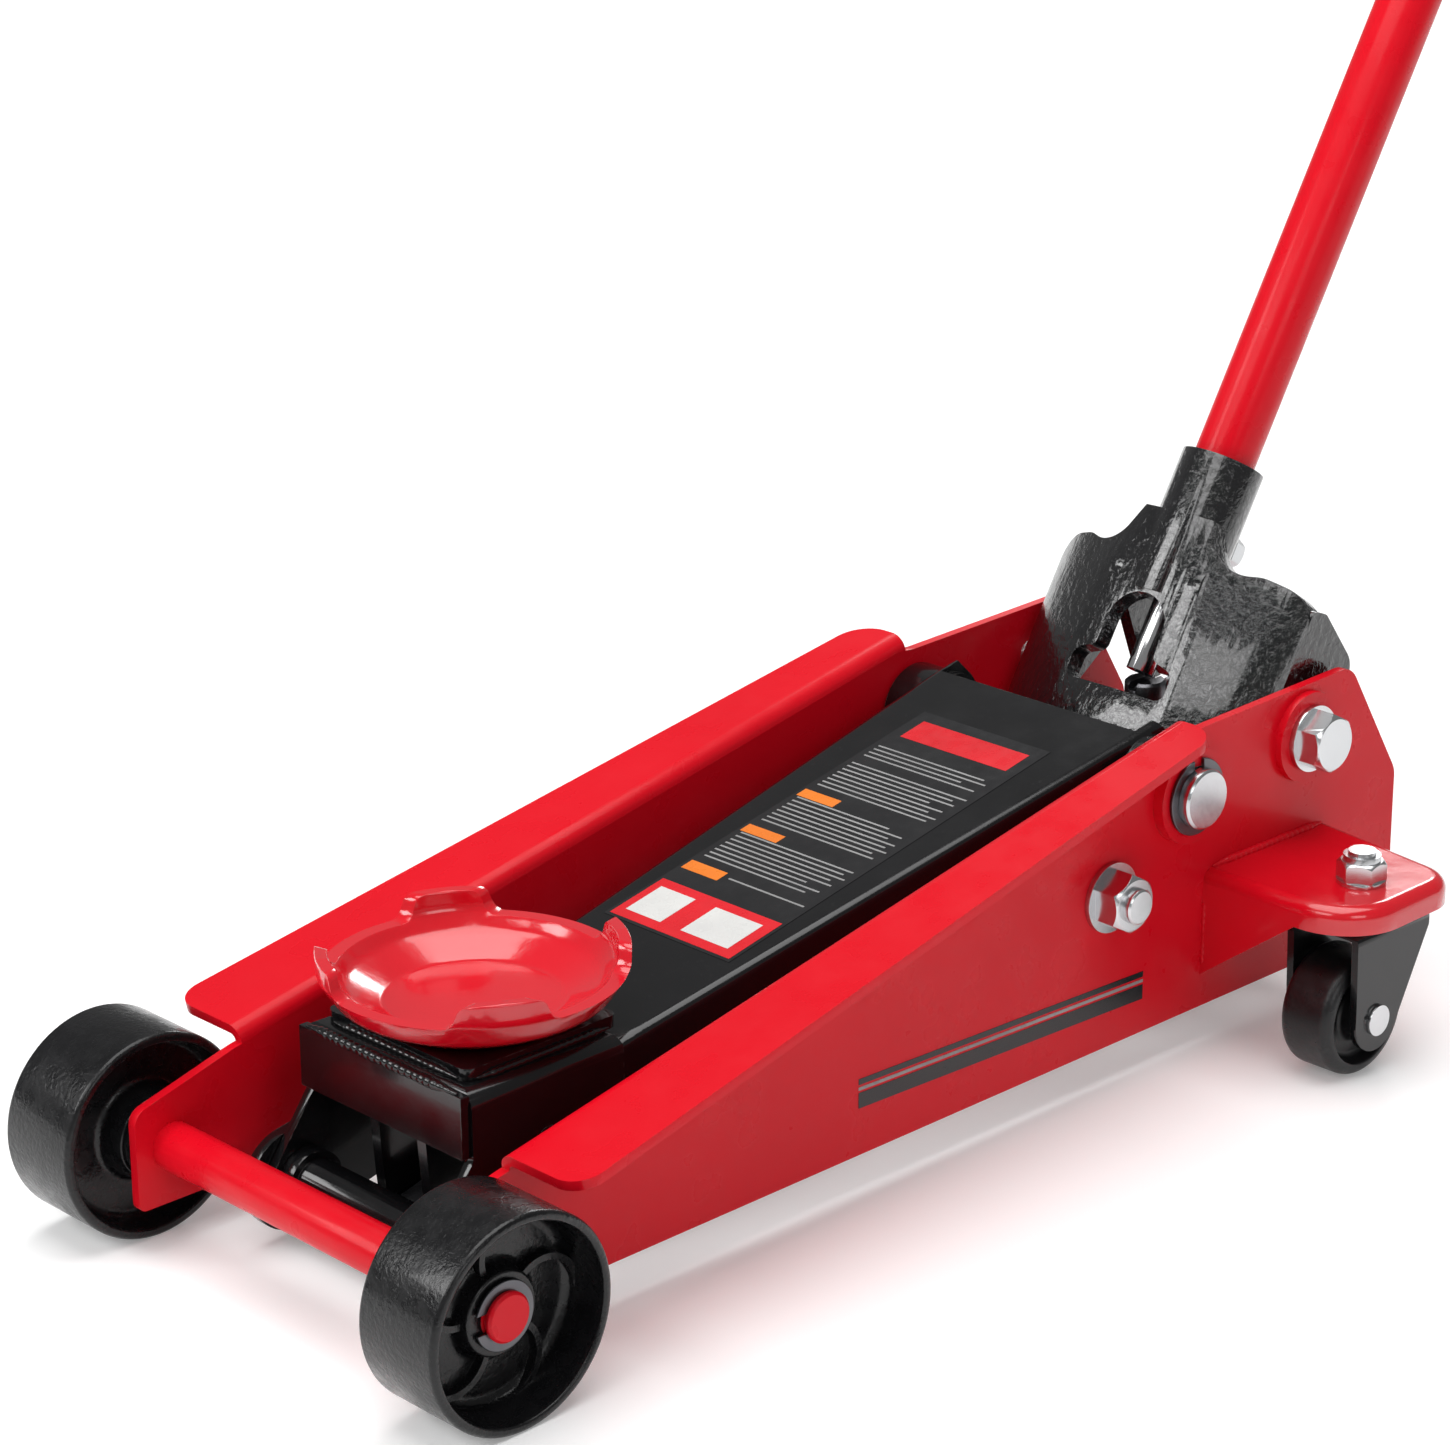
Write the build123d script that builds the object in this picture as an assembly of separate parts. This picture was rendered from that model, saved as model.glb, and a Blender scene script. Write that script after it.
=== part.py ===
from build123d import *
import os
from math import atan2, cos, degrees, hypot, radians, sin, tan

# A hydraulic trolley jack, in millimetres. It is drawn about a working origin on the ground under the front
# axle, with +X towards the saddle, +Y to the jack's left and +Z up. The last lines move every piece so that
# the origin is at the bottom centre of the whole jack.

# Driving dimensions -----------------------------------------------------------------------------------------

# Side plates: |y| of their faces, and the line that the turned-out flange follows.
PLATE_THICKNESS = 5.0
PLATE_OUTSIDE = 96.0
PLATE_INSIDE = PLATE_OUTSIDE - PLATE_THICKNESS
PLATE_BOTTOM = 22.3
NOSE_X = 20.3
REAR_X = -662.0
FLANGE_START = (-40.0, 95.4)
FLANGE_SLOPE = 11.22
FLANGE_LENGTH = 450.0
FLANGE_FRONT_WIDTH = 46.0
FLANGE_REAR_WIDTH = 26.0

# Front axle and wheels.
AXLE_RADIUS = 11.5
AXLE_HALF_LENGTH = 143.0
WHEEL_RADIUS = 50.0
WHEEL_INSIDE = 103.3
WHEEL_OUTSIDE = 151.6
HUB_FACE = 137.5

# Casters under the rear wings.
CASTER_X = -549.0
CASTER_Y = 161.0
CASTER_RADIUS = 32.0
CASTER_TRAIL = 11.0
WING_TOP = 97.0
WING_BOTTOM = 83.0
WING_THICKNESS = 5.0
WING_FRONT_X = -505.0
FORK_TOP = 82.0

# Lifting linkage: arm pivot, arm length, how far the lowered arm points down, and the offset of the
# levelling pivot from the arm's front pivot. The radius rod's rear pivot has the same offset from the
# arm's rear pivot, so the saddle stays level.
ARM_PIVOT = (-488.6, 142.8)
ARM_LENGTH = 457.0
ARM_DROP = 14.1
LEVEL_OFFSET = (-27.0, -11.8)
ARM_PIN_RADIUS = 15.5
ARM_BAR_RADIUS = 12.0
ARM_FRONT_HALF_WIDTH = 50.0
ARM_REAR_HALF_WIDTH = 71.0
ARM_SHEET = 5.0
CRANK_RADIUS = 75.0
CRANK_START = -118.7
LUG_INSIDE = 58.6
LUG_OUTSIDE = 64.6
LUG_RADIUS = 27.0

# Saddle and its bracket, placed from the arm's front pivot.
BRACKET_HALF_WIDTH = 58.0
BRACKET_RISE = 76.0
BASE_PLATE_RISE = 82.0
SADDLE_X = -105.2
SADDLE_RADIUS = 71.5
SADDLE_HEIGHT = 32.0
SADDLE_RIM_CUT = 12.0
SADDLE_WALL = 6.0
SADDLE_STEM_RADIUS = 14.0

# Handle socket: its pivot, how far the handle stands from upright, and how far its axis passes in front.
SOCKET_PIVOT = (-582.8, 149.4)
HANDLE_TILT = 31.94
HANDLE_OFFSET = 23.0
HANDLE_RADIUS = 16.5
HANDLE_BORE = 13.7
HANDLE_START = 50.0
HANDLE_JOINT = 600.0
HANDLE_END = 1120.0
RELEASE_ROD_RADIUS = 7.5
SOCKET_RADIUS = 22.5
SOCKET_TOP = 123.0
SOCKET_HALF_WIDTH = 84.0
SOCKET_SLOT_HALF_WIDTH = 19.0

# Pump and lift cylinder.
ROLLER_REACH = 25.5
ROLLER_ANGLE = 157.5
ROLLER_RADIUS = 9.0
ROLLER_PIN_RADIUS = 5.0
PLUNGER_RADIUS = 8.0
PLUNGER_STROKE = 20.0
PLUNGER_CAP_HEIGHT = 5.0
RAM_RADIUS = 15.0
RAM_Z = 72.0
RAM_GAP = 1.0
CROSSHEAD_RADIUS = 12.0
BLOCK_TOP = 92.0
BLOCK_HALF_WIDTH = 34.0
MOUNT_STUD = (-432.0, 103.4)
TRUNNION = (-600.0, 46.0)

# Clearances: radial in a running fit, radial in a fixed fit, and between pieces that pass each other.
RUNNING = 0.08
FIXED = 0.02
PASSING = 0.5


# Drawing helpers --------------------------------------------------------------------------------------------

def outline(points, radius=0.0):
    """A closed face whose corners are rounded by one radius, or by a list with a radius for each."""
    return make_face(FilletPolyline(*points, radius=radius, close=True))


def slab(face, y_from, y_to):
    """A face drawn in XZ, made thick from y_from to y_to."""
    return extrude(Plane.XZ.offset(-y_from) * face, -(y_to - y_from))


def rod(start, end, radius):
    """A round bar between two points."""
    run = Vector(*end) - Vector(*start)
    return extrude(Plane(origin=start, z_dir=run) * Circle(radius), run.length)


def across(centre, radius, y_from, y_to):
    """A round bar along Y, at a centre given as (x, z)."""
    x, z = centre
    return rod((x, y_from, z), (x, y_to, z), radius)


def upright(x, y, radius, z_from, z_to):
    """A round bar along Z."""
    return rod((x, y, z_from), (x, y, z_to), radius)


def hexagon(across_flats, start, end):
    """A hexagonal bar between two points, its top edges bevelled."""
    run = Vector(*end) - Vector(*start)
    place = Plane(origin=start, z_dir=run)
    prism = extrude(place * RegularPolygon(across_flats / 2, 6, major_radius=False), run.length)
    bevel = Cone(
        across_flats * 0.5 + run.length, across_flats * 0.48, run.length,
        align=(Align.CENTER, Align.CENTER, Align.MIN),
    )
    return prism & (place * bevel)


def both_sides(piece):
    """A piece on the left and its mirror image on the right, as two solids."""
    return piece + mirror(piece, about=Plane.XZ)


def offset_from(point, step):
    """A point in XZ moved by a step in XZ."""
    return (point[0] + step[0], point[1] + step[1])


def polar(centre, radius, angle):
    """A point in XZ at a distance and an angle, in degrees from +X towards +Z, about a centre."""
    return (centre[0] + radius * cos(radians(angle)), centre[1] + radius * sin(radians(angle)))


# Points that follow from the dimensions ---------------------------------------------------------------------

ARM_FRONT = polar(ARM_PIVOT, ARM_LENGTH, -ARM_DROP)
LEVEL_FRONT = offset_from(ARM_FRONT, LEVEL_OFFSET)
LEVEL_REAR = offset_from(ARM_PIVOT, LEVEL_OFFSET)
CROSSHEAD = polar(ARM_PIVOT, CRANK_RADIUS, CRANK_START)
ROLLER = polar(SOCKET_PIVOT, ROLLER_REACH, ROLLER_ANGLE)
BRACKET_TOP = ARM_FRONT[1] + BRACKET_RISE
SADDLE_SEAT = ARM_FRONT[1] + BASE_PLATE_RISE
CASTER_AXLE = (CASTER_X + CASTER_TRAIL, CASTER_RADIUS)
# Frames in which the arm lies level and the handle stands upright, each about its own pivot.
ARM_FRAME = Pos(ARM_PIVOT[0], 0, ARM_PIVOT[1]) * Rot(0, ARM_DROP, 0)
HANDLE_FRAME = Pos(SOCKET_PIVOT[0], 0, SOCKET_PIVOT[1]) * Rot(0, -HANDLE_TILT, 0)


def in_arm(point):
    """A point in XZ, seen in the frame in which the arm lies level."""
    x, z = point[0] - ARM_PIVOT[0], point[1] - ARM_PIVOT[1]
    return polar((0, 0), hypot(x, z), degrees(atan2(z, x)) + ARM_DROP)


def in_handle(point):
    """A point in XZ, seen in the frame in which the handle stands upright."""
    x, z = point[0] - SOCKET_PIVOT[0], point[1] - SOCKET_PIVOT[1]
    return polar((0, 0), hypot(x, z), degrees(atan2(z, x)) - HANDLE_TILT)


# Chassis ----------------------------------------------------------------------------------------------------

def side_plate():
    """The left side plate: an upright web with a sloping flange turned out along its top."""
    x0, z0 = FLANGE_START
    slope = tan(radians(FLANGE_SLOPE))
    bend_drop = 8.0
    flange_rear_x = x0 - FLANGE_LENGTH * cos(radians(FLANGE_SLOPE))
    flange_rear_z = z0 + (x0 - flange_rear_x) * slope
    web = slab(
        outline(
            [
                (NOSE_X, PLATE_BOTTOM), (NOSE_X, 71), (x0 + 4, z0 - 9), (x0 - 6, z0 - bend_drop + 1),
                (flange_rear_x + 4, flange_rear_z - bend_drop), (flange_rear_x - 8, flange_rear_z - 9),
                (-620, 178), (REAR_X, 111), (REAR_X, PLATE_BOTTOM),
            ],
            [4, 8, 4, 0, 0, 4, 14, 14, 8],
        ),
        PLATE_INSIDE,
        PLATE_OUTSIDE,
    )
    width = PLATE_OUTSIDE + FLANGE_FRONT_WIDTH
    section = outline(
        [
            (PLATE_INSIDE, -14), (PLATE_INSIDE, 0), (width, 0), (width, -PLATE_THICKNESS),
            (PLATE_OUTSIDE, -PLATE_THICKNESS), (PLATE_OUTSIDE, -14),
        ],
        [0, 8, 0, 0, 3, 0],
    )
    plan = outline(
        [
            (0, PLATE_INSIDE - 1), (0, width), (-FLANGE_LENGTH, PLATE_OUTSIDE + FLANGE_REAR_WIDTH),
            (-FLANGE_LENGTH, PLATE_INSIDE - 1),
        ],
        [0, 14, 18, 0],
    )
    flange = extrude(Plane.YZ * section, -FLANGE_LENGTH) & extrude(Plane.XY.offset(-20) * plan, 30)
    flange_frame = Plane(
        origin=(x0, 0, z0),
        x_dir=(cos(radians(FLANGE_SLOPE)), 0, -sin(radians(FLANGE_SLOPE))),
        z_dir=(sin(radians(FLANGE_SLOPE)), 0, cos(radians(FLANGE_SLOPE))),
    )
    bosses = across(ARM_PIVOT, 25, PLATE_OUTSIDE - 1, PLATE_OUTSIDE + 6)
    bosses += across(SOCKET_PIVOT, 24, PLATE_OUTSIDE - 1, PLATE_OUTSIDE + 4)
    plate = web + flange_frame * flange + bosses
    plate -= across((0, WHEEL_RADIUS), AXLE_RADIUS + FIXED, 80, 120)
    plate -= across(ARM_PIVOT, ARM_PIN_RADIUS + FIXED, 80, 120)
    plate -= across(SOCKET_PIVOT, 9 + FIXED, 80, 120)
    plate -= across(MOUNT_STUD, 9 + FIXED, 80, 120)
    return plate


def front_axle():
    """The axle that ties the noses together, grooved near each end for a retaining ring."""
    centre = (0, WHEEL_RADIUS)
    axle = across(centre, AXLE_RADIUS, -AXLE_HALF_LENGTH, AXLE_HALF_LENGTH)
    groove = across(centre, 20, HUB_FACE + 0.5, HUB_FACE + 2.5) - across(centre, 10, HUB_FACE, HUB_FACE + 3)
    return chamfer(axle.edges(), 1.2) - both_sides(groove)


def front_wheel_ring():
    """A split ring in the axle's groove, with its gap to the front."""
    centre = (0, WHEEL_RADIUS)
    ring = across(centre, 16, HUB_FACE + 0.7, HUB_FACE + 2.3)
    ring -= across(centre, 10 + FIXED, HUB_FACE, HUB_FACE + 3)
    return ring - Pos(14, HUB_FACE, WHEEL_RADIUS) * Box(16, 8, 9)


def front_wheel_spacer():
    """The washer that keeps a wheel off its side plate."""
    centre = (0, WHEEL_RADIUS)
    spacer = across(centre, 19, PLATE_OUTSIDE, WHEEL_INSIDE - 0.3)
    return spacer - across(centre, AXLE_RADIUS + FIXED, 90, 110)


def caster_wing():
    """The pressed bracket that carries a caster: a flat top, a rolled lip, and a deep gusset in front."""
    side, outer = PLATE_OUTSIDE, 192.0
    rear = WING_FRONT_X - 101
    plan = outline(
        [(WING_FRONT_X, side), (WING_FRONT_X, outer), (rear + 14, outer - 2), (rear, side)],
        [0, 34, 22, 0],
    )
    inner = outline(
        [
            (WING_FRONT_X - 5, side - 1), (WING_FRONT_X - 5, outer - 5), (rear + 18, outer - 7),
            (rear + 5, side - 1),
        ],
        [0, 29, 17, 0],
    )
    shell = extrude(Plane.XY.offset(WING_BOTTOM) * plan, WING_TOP - WING_BOTTOM)
    rim = shell.faces().sort_by(Axis.Z)[-1].edges().filter_by(lambda edge: edge.center().Y > side + 1)
    shell = fillet(rim, 7)
    shell -= extrude(Plane.XY.offset(WING_BOTTOM - 1) * inner, WING_TOP - WING_BOTTOM + 1 - WING_THICKNESS)
    gusset = outline([(side, 90), (side, 40), (154, WING_BOTTOM), (154, 90)])
    shell += extrude(Plane.YZ.offset(WING_FRONT_X - WING_THICKNESS) * gusset, WING_THICKNESS)
    return shell - upright(CASTER_X, CASTER_Y, 7 + FIXED, 70, 110)


def caster_bolt():
    """The bolt a caster swivels on: head, shank and end in one piece, then its washer and its lock nut."""
    x, y = CASTER_X, CASTER_Y
    bolt = upright(x, y, 7, 76, 114) + upright(x, y, 11.5, 72, FORK_TOP - 4 - 0.3)
    washer = upright(x, y, 12.5, WING_TOP, WING_TOP + 2.2) - upright(x, y, 7 + FIXED, 90, 110)
    nut = hexagon(22, (x, y, WING_TOP + 2.2), (x, y, WING_TOP + 12))
    nut += upright(x, y, 9.5, WING_TOP + 11, WING_TOP + 15)
    nut -= upright(x, y, 7 + FIXED, 90, 120)
    return bolt + washer + nut


def caster_bearing():
    """The thrust race between a fork and its wing."""
    race = upright(CASTER_X, CASTER_Y, 21, FORK_TOP + 0.3, WING_TOP - WING_THICKNESS)
    return race - upright(CASTER_X, CASTER_Y, 7 + FIXED, 80, 95)


def rear_cross_plate():
    """The plate that ties the side plates together behind the pump."""
    body = Pos(REAR_X + 6.5, 0, 76.5) * Box(5, 2 * PLATE_INSIDE, 63)
    return body - rod((REAR_X, 0, 72), (REAR_X + 20, 0, 72), 22)


def arm_pivot_pin():
    """A stub the arm hinges on, grooved outside the boss for its snap ring."""
    pin = across(ARM_PIVOT, ARM_PIN_RADIUS, 60, PLATE_OUTSIDE + 14.5)
    groove = across(ARM_PIVOT, 20, PLATE_OUTSIDE + 6.2, PLATE_OUTSIDE + 8.4)
    groove -= across(ARM_PIVOT, 13.5, PLATE_OUTSIDE, PLATE_OUTSIDE + 12)
    return chamfer(pin.edges(), 1.2) - groove


def arm_pivot_ring():
    """The snap ring that holds a pivot pin, open at the top."""
    ring = across(ARM_PIVOT, 20, PLATE_OUTSIDE + 6.3, PLATE_OUTSIDE + 8.3)
    ring -= across(ARM_PIVOT, 13.5 + FIXED, PLATE_OUTSIDE, PLATE_OUTSIDE + 12)
    return ring - Pos(ARM_PIVOT[0], PLATE_OUTSIDE + 7, ARM_PIVOT[1] + 18) * Box(7, 8, 14)


def socket_bolt():
    """A shouldered bolt that the handle socket pivots on, with its washer."""
    x, z = SOCKET_PIVOT
    face = PLATE_OUTSIDE + 4
    bolt = across(SOCKET_PIVOT, 9, 73, face + 3)
    bolt += hexagon(28, (x, face + 3, z), (x, face + 16, z))
    washer = across(SOCKET_PIVOT, 17.5, face, face + 3) - across(SOCKET_PIVOT, 9 + FIXED, face - 2, face + 5)
    return bolt + washer


def unit_mount_bolt():
    """A stud that holds a mounting strap to its side plate, with its washer and nut."""
    x, z = MOUNT_STUD
    stud = across(MOUNT_STUD, 9, PLATE_INSIDE - 5, PLATE_OUTSIDE + 21)
    washer = across(MOUNT_STUD, 18, PLATE_OUTSIDE, PLATE_OUTSIDE + 3)
    washer -= across(MOUNT_STUD, 9 + FIXED, PLATE_OUTSIDE - 2, PLATE_OUTSIDE + 5)
    nut = hexagon(27, (x, PLATE_OUTSIDE + 3, z), (x, PLATE_OUTSIDE + 17, z))
    nut -= across(MOUNT_STUD, 9 + FIXED, PLATE_OUTSIDE, PLATE_OUTSIDE + 22)
    return chamfer(stud.edges(), 1) + washer + nut


def flat_bar(start, end, half_depth, y_from, y_to):
    """A flat bar with rounded ends, between two points in XZ."""
    bar = SlotCenterToCenter(hypot(end[0] - start[0], end[1] - start[1]), 2 * half_depth)
    turn = degrees(atan2(end[1] - start[1], end[0] - start[0]))
    middle = Pos((start[0] + end[0]) / 2, (start[1] + end[1]) / 2) * Rot(0, 0, turn)
    return slab(middle * bar, y_from, y_to)


def unit_mount_strap():
    """The flat bar inside a side plate that holds one end of the trunnion."""
    strap = flat_bar(MOUNT_STUD, TRUNNION, 15, PLATE_INSIDE - 5, PLATE_INSIDE)
    return strap - across(MOUNT_STUD, 9 + FIXED, 80, 95) - across(TRUNNION, 9 + FIXED, 80, 95)


# Power unit -------------------------------------------------------------------------------------------------

BLOCK_REAR = -652.0
BLOCK_FRONT = -565.0
BOSS_FRONT = -556.0
RAM_REAR = -630.0
RAM_FRONT = CROSSHEAD[0] - CROSSHEAD_RADIUS - RAM_GAP
PLUNGER_TOP = ROLLER[1] - ROLLER_RADIUS - 0.5
PLUNGER_X = ROLLER[0] - 1.0
# The pump bore ends above the lift cylinder, and the plunger keeps off its floor at full stroke.
PUMP_BORE_FLOOR = RAM_Z + RAM_RADIUS + 3
PLUNGER_FOOT = PUMP_BORE_FLOOR + PLUNGER_STROKE + 1
PUMP_BOSS_TOP = PLUNGER_FOOT + 6
VALVE_X = -570.5
KNUCKLE_TOP = 160.0
ANCHOR_BAR = (-643.0, CROSSHEAD[1])


def pump_block():
    """The cast block with the lift cylinder along X and the pump bore upright behind it."""
    half = BLOCK_HALF_WIDTH
    middle = (BLOCK_REAR + BLOCK_FRONT) / 2
    block = Pos(middle, 0, (34 + BLOCK_TOP) / 2) * Box(BLOCK_FRONT - BLOCK_REAR, 2 * half, BLOCK_TOP - 34)
    block = fillet(block.edges().filter_by(Axis.X), 10)
    block += rod((BLOCK_FRONT - 5, 0, RAM_Z), (BOSS_FRONT, 0, RAM_Z), 26)
    block += upright(PLUNGER_X, 0, PLUNGER_RADIUS + 5, BLOCK_TOP - 5, PUMP_BOSS_TOP)
    block -= rod((RAM_REAR - 2, 0, RAM_Z), (BOSS_FRONT + 1, 0, RAM_Z), RAM_RADIUS + RUNNING)
    block -= upright(PLUNGER_X, 0, PLUNGER_RADIUS + RUNNING, PUMP_BORE_FLOOR, PUMP_BOSS_TOP + 1)
    block -= upright(VALVE_X, 0, 6 + RUNNING, RAM_Z + RAM_RADIUS + 2, PUMP_BOSS_TOP)
    block -= across(TRUNNION, 9 + FIXED, -half - 1, half + 1)
    block -= across(ANCHOR_BAR, 4 + FIXED, -half - 1, half + 1)
    return block - rod((-610, 20, 70), (-610, half + 1, 70), 8 + FIXED)


def ram_gland_nut():
    """The ring nut that closes the lift cylinder round the ram."""
    ring = rod((BOSS_FRONT, 0, RAM_Z), (BOSS_FRONT + 8, 0, RAM_Z), 25)
    ring -= rod((BOSS_FRONT - 1, 0, RAM_Z), (BOSS_FRONT + 9, 0, RAM_Z), RAM_RADIUS + RUNNING)
    for angle in range(0, 360, 60):
        notch = Pos(BOSS_FRONT + 6, 0, RAM_Z) * Rot(angle, 0, 0) * Pos(0, 25, 0) * Box(8, 6, 6)
        ring -= notch
    return ring


def lift_ram():
    """The ram that pushes the crosshead forward."""
    ram = rod((RAM_REAR, 0, RAM_Z), (RAM_FRONT, 0, RAM_Z), RAM_RADIUS)
    return chamfer(ram.edges(), 1)


def filler_plug():
    """The hexagonal plug in the block's left face."""
    shank = rod((-610, 22, 70), (-610, BLOCK_HALF_WIDTH, 70), 8)
    head_from, head_to = (-610, BLOCK_HALF_WIDTH, 70), (-610, BLOCK_HALF_WIDTH + 6, 70)
    return shank + hexagon(14, head_from, head_to)


def pump_plunger():
    """The plunger that the roller pushes down, with the cap that holds its spring."""
    plunger = upright(PLUNGER_X, 0, PLUNGER_RADIUS, PLUNGER_FOOT, PLUNGER_TOP)
    cap = upright(PLUNGER_X, 0, PLUNGER_RADIUS + 6, PLUNGER_TOP - PLUNGER_CAP_HEIGHT, PLUNGER_TOP)
    return plunger + cap


def pump_spring():
    """The spring that lifts the plunger and the handle."""
    wire, radius, turns = 1.8, PLUNGER_RADIUS + 2.6, 4
    bottom = PUMP_BOSS_TOP + wire / 2 + 0.1
    top = PLUNGER_TOP - PLUNGER_CAP_HEIGHT - wire / 2 - 0.1
    line = Helix(pitch=(top - bottom) / turns, height=top - bottom, radius=radius)
    coil = sweep(Plane(origin=line @ 0, z_dir=line % 0) * Circle(wire / 2), path=line, is_frenet=True)
    return Pos(PLUNGER_X, 0, bottom) * coil


SPRING_Y = 50.0


def return_spring():
    """A tension spring that draws the arm's crank back, its coils closed, with a hook at each end."""
    wire, inner, outer, turns = 2.6, 5.6, 8.2, 31
    z = CROSSHEAD[1]
    centre = (CROSSHEAD[0] + ANCHOR_BAR[0]) / 2
    half = turns * wire / 2
    edge = [Line((0, -half), (inner + wire / 2, -half))]
    for index in range(turns):
        low, high = index * wire - half, (index + 1) * wire - half
        mid = inner + wire / 2
        edge.append(ThreePointArc((mid, low), (outer, (low + high) / 2), (mid, high)))
    edge.append(Polyline((inner + wire / 2, half), (0, half), (0, -half)))
    profile = make_face(edge)
    coil = Plane(origin=(centre, SPRING_Y, z), z_dir=(1, 0, 0)) * revolve(Plane.XZ * profile, Axis.Z)
    front_x, rear_x = CROSSHEAD[0], ANCHOR_BAR[0]
    hook = rod((rear_x + 5.2, SPRING_Y, z), (front_x - 10, SPRING_Y, z), wire / 2)
    front_eye = Plane(origin=(front_x, SPRING_Y, z), z_dir=(0, 1, 0)) * Torus(10.8, wire / 2)
    rear_eye = Plane(origin=(rear_x, SPRING_Y, z), z_dir=(0, 1, 0)) * Torus(6, wire / 2)
    return coil + hook + front_eye + rear_eye


def spring_anchor_bar():
    """The bar through the block's rear that the return springs hook on."""
    return across(ANCHOR_BAR, 4, -SPRING_Y - 5, SPRING_Y + 5)


def radius_rod_anchor():
    """The pair of ears on the block that hold the radius rod's rear pin."""
    foot_rear = (-598, BLOCK_TOP)
    ear = slab(
        outline(
            [foot_rear, (-598, BLOCK_TOP + 14), (LEVEL_REAR[0] - 6, LEVEL_REAR[1] + 13),
             (LEVEL_REAR[0] + 14, LEVEL_REAR[1] + 6), (LEVEL_REAR[0] + 6, LEVEL_REAR[1] - 14),
             (BLOCK_FRONT - 4, BLOCK_TOP + 6), (BLOCK_FRONT - 9, BLOCK_TOP)],
            [0, 4, 10, 10, 10, 4, 0],
        ),
        13.5,
        21.5,
    )
    return both_sides(ear - across(LEVEL_REAR, 6 + FIXED, 10, 30))


def release_valve():
    """The upright valve stem with the slotted knuckle that the release rod turns."""
    x = VALVE_X
    stem = upright(x, 0, 6, RAM_Z + RAM_RADIUS + 3, KNUCKLE_TOP - 12)
    knuckle = upright(x, 0, 11, KNUCKLE_TOP - 16, KNUCKLE_TOP)
    return stem + chamfer(knuckle.edges(), 1.5) - Pos(x, 0, KNUCKLE_TOP) * Box(30, 5, 8)


# Running gear -----------------------------------------------------------------------------------------------

def front_wheel():
    """A cast wheel: a rim, a recessed web with five swept ribs, and a hub."""
    web_inside, web_outside = 117.0, 129.0
    bore = AXLE_RADIUS + RUNNING
    profile = outline(
        [
            (bore, WHEEL_INSIDE), (20, WHEEL_INSIDE), (23, web_inside), (43, web_inside), (45.5, WHEEL_INSIDE),
            (WHEEL_RADIUS, WHEEL_INSIDE), (WHEEL_RADIUS, WHEEL_OUTSIDE), (45.5, WHEEL_OUTSIDE),
            (43.5, web_outside), (22, web_outside), (19, HUB_FACE), (bore, HUB_FACE),
        ],
        [0, 1, 4, 4, 1, 2.5, 2.5, 1.5, 5, 4, 1.5, 0],
    )
    wheel = revolve(profile, Axis.Y)
    for index in range(5):
        turn = Rot(0, 0, index * 72)
        line = ThreePointArc((17, 0), polar((0, 0), 32, 8), polar((0, 0), 45, 42))
        wheel += slab(turn * trace(line, 3), web_outside - 2, web_outside + 5)
    wheel -= across((0, 0), bore, 90, 170)
    return Pos(0, 0, WHEEL_RADIUS) * wheel


def caster_fork():
    """The pressed fork of a caster: a top and two cheeks that narrow to the axle."""
    inner, outer = 18.0, 22.0
    section = outline([(-outer, 0), (-outer, FORK_TOP), (outer, FORK_TOP), (outer, 0)], [0, 6, 6, 0])
    hollow = outline([(-inner, -1), (-inner, FORK_TOP - 4), (inner, FORK_TOP - 4), (inner, -1)], [0, 2, 2, 0])
    channel = extrude(Plane.YZ.offset(-40) * section, 80) - extrude(Plane.YZ.offset(-41) * hollow, 82)
    hull = make_hull(
        [
            *(Pos(CASTER_TRAIL, CASTER_RADIUS) * Circle(16.5)).edges(),
            *outline([(-29, FORK_TOP - 12), (-29, FORK_TOP), (29, FORK_TOP), (29, FORK_TOP - 12)], 3).edges(),
        ]
    )
    fork = channel & slab(hull, -outer, outer)
    fork -= upright(0, 0, 7 + RUNNING, 70, 100)
    fork -= across((CASTER_TRAIL, CASTER_RADIUS), 6 + FIXED, -30, 30)
    return Pos(CASTER_X, CASTER_Y, 0) * fork


def caster_axle():
    """A caster's axle, riveted over at both ends."""
    centre = (CASTER_TRAIL, CASTER_RADIUS)
    axle = across(centre, 6, -22, 22) + across(centre, 8, 22, 24) + across(centre, 8, -24, -22)
    return Pos(CASTER_X, CASTER_Y, 0) * axle


def caster_wheel():
    """A solid caster wheel with a recess on each side and a rounded tread."""
    half = 15.5
    bore = 6 + RUNNING
    profile = outline(
        [
            (bore, -17.4), (12, -17.4), (13, -8), (23, -8), (25.5, -half), (CASTER_RADIUS, -half),
            (CASTER_RADIUS, half), (25.5, half), (23, 8), (13, 8), (12, 17.4), (bore, 17.4),
        ],
        [0, 1, 3, 3, 1, 6, 6, 1, 3, 3, 1, 0],
    )
    return Pos(*[CASTER_AXLE[0], CASTER_Y, CASTER_AXLE[1]]) * revolve(profile, Axis.Y)


# Lift arm, drawn level about its rear pivot with +X towards the saddle ---------------------------------------

def arm_half_width(along):
    """The half width over the arm's sides at a distance from its rear pivot."""
    straight_from = 330.0
    if along >= straight_from:
        return ARM_FRONT_HALF_WIDTH
    share = along / straight_from
    return ARM_REAR_HALF_WIDTH + (ARM_FRONT_HALF_WIDTH - ARM_REAR_HALF_WIDTH) * share


def arm_top(along):
    """The height of the arm's web above the line between its pivots."""
    return 26.6 + 0.0386 * along


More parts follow.
